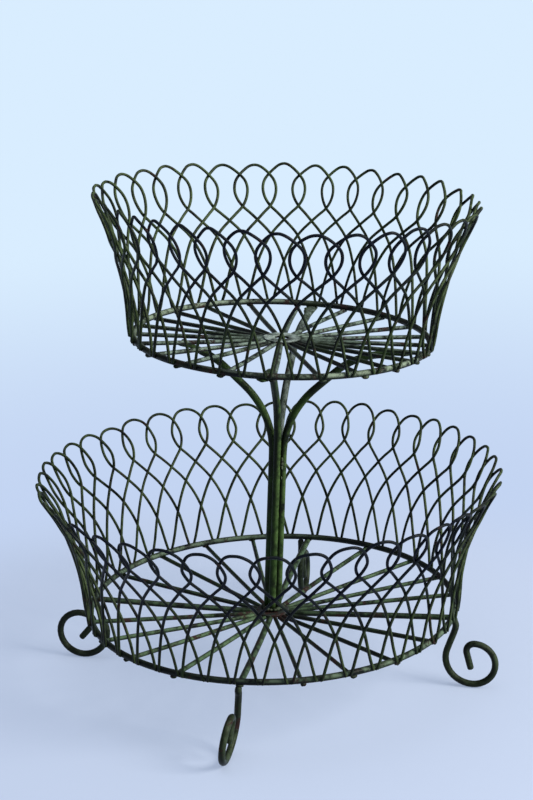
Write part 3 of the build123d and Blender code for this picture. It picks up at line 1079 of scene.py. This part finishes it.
def makeColumnWelds(foot):
    chance = random.Random(weldWork["columnDraws"])
    beads = []
    for i in range(weldWork["columnBeads"]):
        angle = 2 * math.pi * i / weldWork["columnBeads"]
        size = [chance.uniform(*reach) for reach in weldWork["columnBeadSizes"]]
        out = chance.uniform(*weldWork["columnBeadOut"])
        beads.append((around(out, angle, weldWork["columnBeadUp"]), size, angle))
    # where the rods part, a run of weld fills the groove between the front rod and the right one
    for level, swell in weldWork["grooveBeads"]:
        place = around(weldWork["grooveOut"], math.radians(weldWork["grooveAngle"]), level)
        beads.append((place, weldWork["grooveBeadSize"] * swell, 0))
    for number, branch in enumerate(branches):
        angle = math.radians(rodWork["firstAngle"] + 360 / len(branches) * number + branch["turn"])
        level = rodWork["length"] - stock["ringWire"] / 2
        level -= 0 if branch["rise"] else weldWork["underSpokes"]
        for inwards, sideways in weldWork["paddleBeads"]:
            aside = around(sideways, angle + math.pi / 2, 0)
            place = around(branch["reach"] - inwards, angle, level) + aside
            beads.append((place, weldWork["paddleBeadSize"], angle))
    dent, seed = weldWork["columnDent"], weldWork["columnSeed"]
    welds = growBeads("column_welds", beads, dent, seed, paints["weld"], foot)
    seat(welds, [])


for tier in (lowerTier, upperTier):
    makeLoops(tier)
    makeRing(tier)
    makeSpokes(tier)
    makeHub(tier)
    makeTierWelds(tier)
columnFoot = makeColumn(upperTier)
makeColumnWelds(columnFoot)
makeFeet()
print("pieces made")


# Pale surface that runs on into the pale blue of the room, with the shadow kept near the object
studio = {
    "floorColour": "#cfdaee",
    "floorBounce": "#7f8793",  # what the undersides of the wires get back from the floor
    "nearHorizon": "#c3d4f2",
    "farWall": "#d9edff",
    "roomLight": "#e6eefb",
    "roomStrength": 0.32,
    "reach": 6.0,
    "floorGlow": 0.5,  # how much of its paleness the floor keeps where it lies in shadow
    # metres from the basket where the floor turns into the room, and where the room turns pale
    "horizonStart": 0.25,
    "horizonEnd": 0.45,
    "wallStart": 0.35,
    "wallEnd": 1.6,
}
# name, place, what it points at, width in metres, watts and colour
lamps = (
    ("right window", (1.7, -0.75, 1.15), (0, 0, 0.15), 1.0, 46, "#fffaf2"),
    ("top softbox", (-0.2, -0.1, 2.0), (0, 0, 0.1), 1.8, 12, "#f2f6ff"),
)


def makeFloor():
    reach = studio["reach"]
    mesh = bpy.data.meshes.new("floor")
    corners = [(-reach, -reach, 0), (reach, -reach, 0), (reach, reach, 0), (-reach, reach, 0)]
    mesh.from_pydata(corners, [], [(0, 1, 2, 3)])
    floor = inScene("floor", mesh)
    material = bpy.data.materials.new("matt pale floor")
    tree = clearTree(material)
    place = addNode(tree, "ShaderNodeTexCoord").outputs["Object"]
    away = onVector(tree, "LENGTH", place).outputs["Value"]
    far = shareOf(tree, away, studio["horizonStart"], studio["horizonEnd"], least=studio["floorGlow"])
    rise = shareOf(tree, away, studio["wallStart"], studio["wallEnd"])
    wall = mixColours(tree, rise, hexColour(studio["nearHorizon"]), hexColour(studio["farWall"]))
    glow = addNode(tree, "ShaderNodeEmission", None, {"Color": wall, "Strength": 1.0})
    rays = addNode(tree, "ShaderNodeLightPath").outputs
    seen = calculate(tree, "MAXIMUM", rays["Is Camera Ray"], rays["Is Glossy Ray"])
    pale = mixColours(tree, seen, hexColour(studio["floorBounce"]), hexColour(studio["floorColour"]))
    matt = addNode(tree, "ShaderNodeBsdfDiffuse", None, {"Color": pale})
    glowShare = calculate(tree, "MULTIPLY", far, seen)
    both = addNode(tree, "ShaderNodeMixShader", None, {0: glowShare, 1: matt, 2: glow})
    addNode(tree, "ShaderNodeOutputMaterial", None, {"Surface": both})
    mesh.materials.append(material)


def makeWorld():
    world = bpy.data.worlds.new("pale room")
    tree = clearTree(world)
    rays = addNode(tree, "ShaderNodeLightPath").outputs
    wall, light = (hexColour(studio[k]) for k in ("farWall", "roomLight"))
    seen = addNode(tree, "ShaderNodeBackground", None, {"Color": wall, "Strength": 1.0})
    strength = studio["roomStrength"]
    unseen = addNode(tree, "ShaderNodeBackground", None, {"Color": light, "Strength": strength})
    both = addNode(tree, "ShaderNodeMixShader", None, {0: rays["Is Camera Ray"], 1: unseen, 2: seen})
    addNode(tree, "ShaderNodeOutputWorld", None, {"Surface": both})
    bpy.context.scene.world = world


def addLamp(name, place, target, size, power, colour):
    light = bpy.data.lights.new(name, "AREA")
    light.shape = "DISK"
    light.size = size
    light.energy = power
    light.color = hexColour(colour)[:3]
    lamp = inScene(name, light)
    lamp.location = place
    lamp.rotation_euler = (Vector(target) - Vector(place)).to_track_quat("-Z", "Y").to_euler()


# The camera's place and aim, in millimetres and degrees, from the photograph's own perspective
view = {
    "place": (-5.4, -1291.8, 613.2),
    "down": 17.09,
    "yaw": 0.23,
    "roll": -1.60,
    "focalPixels": 1853.4,
    "longSide": 800,
    "sensor": 36.0,
    "farthest": 50,
}


def makeCamera():
    down, yaw, roll = (math.radians(view[k]) for k in ("down", "yaw", "roll"))
    ahead = Vector((math.sin(yaw) * math.cos(down), math.cos(yaw) * math.cos(down), -math.sin(down)))
    level = Vector((math.cos(yaw), -math.sin(yaw), 0))
    upright = level.cross(ahead)
    right = level * math.cos(roll) + upright * math.sin(roll)
    up = upright * math.cos(roll) - level * math.sin(roll)
    data = bpy.data.cameras.new("camera")
    data.sensor_width = view["sensor"]
    data.lens = view["focalPixels"] * view["sensor"] / view["longSide"]
    data.clip_end = view["farthest"]
    camera = inScene("camera", data)
    turned = Matrix((right, up, -ahead)).transposed().to_4x4()
    camera.matrix_world = Matrix.Translation(Vector(view["place"]) * mm) @ turned
    bpy.context.scene.camera = camera


makeFloor()
makeWorld()
for lamp in lamps:
    addLamp(*lamp)
makeCamera()
bpy.context.scene.view_settings.view_transform = "Standard"
print("studio set")
